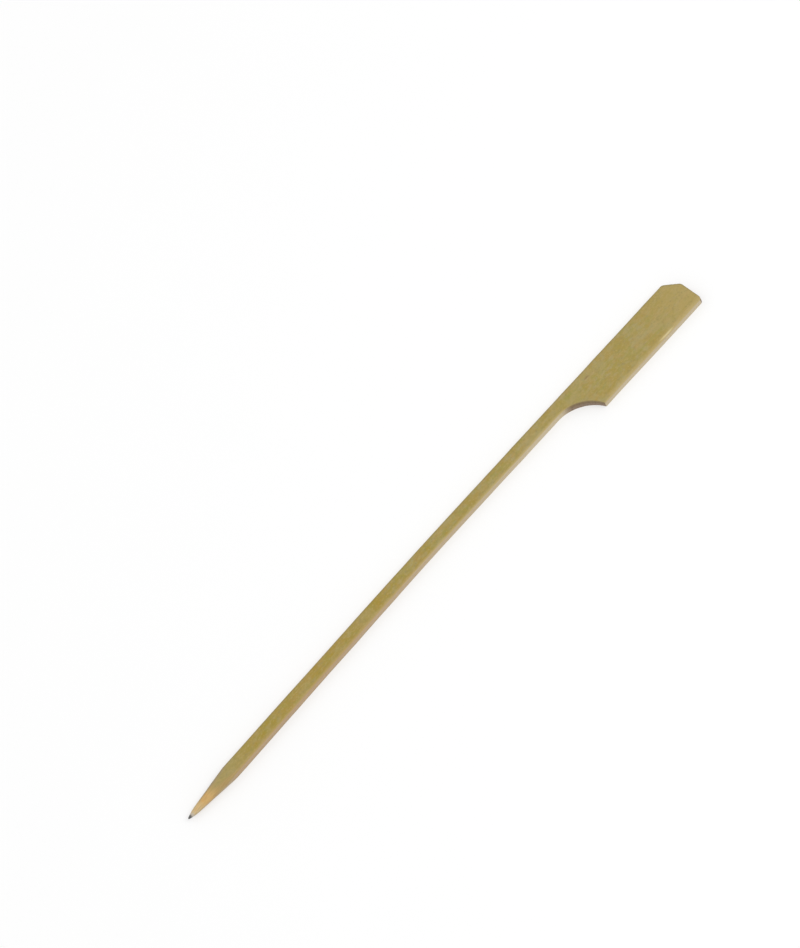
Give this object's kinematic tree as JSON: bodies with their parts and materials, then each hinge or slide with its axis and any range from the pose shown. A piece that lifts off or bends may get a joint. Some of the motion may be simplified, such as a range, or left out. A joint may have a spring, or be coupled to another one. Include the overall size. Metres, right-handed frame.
{
  "type": "flat bamboo skewer",
  "caption": "Flat strip of bamboo with a ground point, a slim rectangular shaft and a wider flat head at one side for holding it.",
  "frame": {"origin": "middle of the skewer's box in plan, on the surface that its planed inner face lies on", "axes": "+X from the point to the end of the head, +Y across the strip from the head's free side to its straight back edge, +Z out of the skin face"},
  "size_m": [0.18, 0.01, 0.0028],
  "materials": {
    "bamboo": "matt planed bamboo with its olive skin on one face"
  },
  "bodies": {
    "root": {"skewer": "bamboo"}
  },
  "joints": []
}
